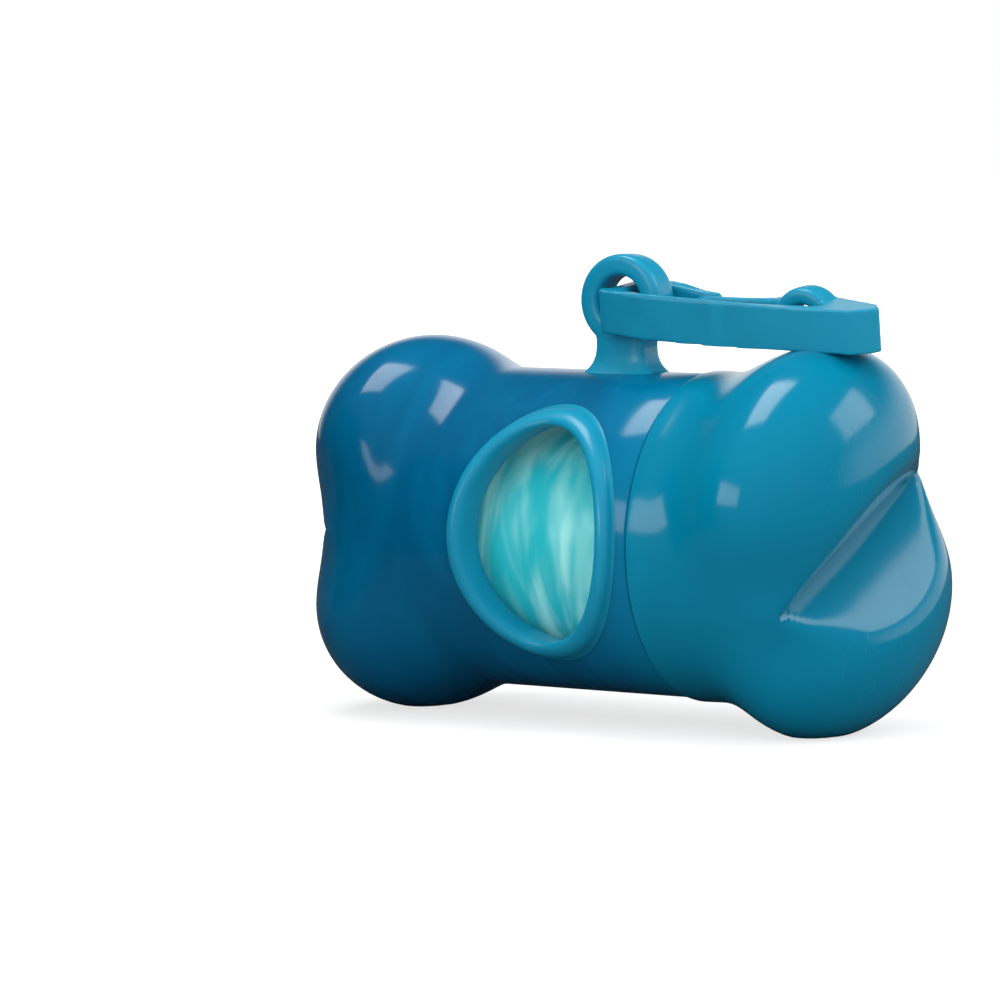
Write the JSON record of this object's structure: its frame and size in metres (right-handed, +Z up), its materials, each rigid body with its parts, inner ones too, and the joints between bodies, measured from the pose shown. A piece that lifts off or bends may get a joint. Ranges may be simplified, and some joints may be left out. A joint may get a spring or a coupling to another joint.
{
  "type": "dog poop bag dispenser",
  "caption": "Bone-shaped pocket dispenser for rolled dog waste bags, with a pull window, a twist and pull cap, a lug and a plastic snap clip.",
  "frame": {"origin": "under the middle of the bone, on the level that its two lobes rest on", "axes": "+X along the bone to the cap, -Y to the window, +Z up to the lug"},
  "size_m": [0.0806, 0.0458, 0.058],
  "materials": {
    "body": "glossy, slightly translucent petrol blue",
    "cap": "glossy, slightly translucent teal",
    "clip": "satin teal, flexible",
    "core": "matt black recycled plastic",
    "bags": "thin shiny film, wound in many layers"
  },
  "bodies": {
    "body": {"body_shell": "body"},
    "cap": {"cap": "cap"},
    "clip": {"clip_hook": "clip"},
    "gate": {"clip_gate": "clip"},
    "roll": {"roll_core": "core", "bag_01": "bags", "bag_02": "bags", "bag_03": "bags", "bag_04": "bags", "bag_05": "bags", "bag_06": "bags", "bag_07": "bags", "bag_08": "bags", "bag_09": "bags", "bag_10": "bags", "bag_11": "bags", "bag_12": "bags", "bag_13": "bags", "bag_14": "bags", "bag_15": "bags"}
  },
  "joints": [
    {"name": "cap_pull", "type": "slide", "parent": "body", "child": "cap", "axis": [1, 0, 0], "range_m": [0, 0.04]},
    {"name": "roll_spin", "type": "hinge", "parent": "body", "child": "roll", "pos_m": [0, 0, 0.0221], "axis": [1, 0, 0], "continuous": true},
    {"name": "clip_swing", "type": "hinge", "parent": "body", "child": "clip", "pos_m": [0.0005, 0, 0.0523], "axis": [0, 1, 0], "range_deg": [-185, 0]},
    {"name": "gate_flex", "type": "hinge", "parent": "clip", "child": "gate", "pos_m": [0.0201, 0.00248, 0.0526], "axis": [0, -0.1219, 0.9925], "range_deg": [0, 15], "stiffness_Nm_per_rad": 0.15, "springref_deg": -2.86}
  ]
}
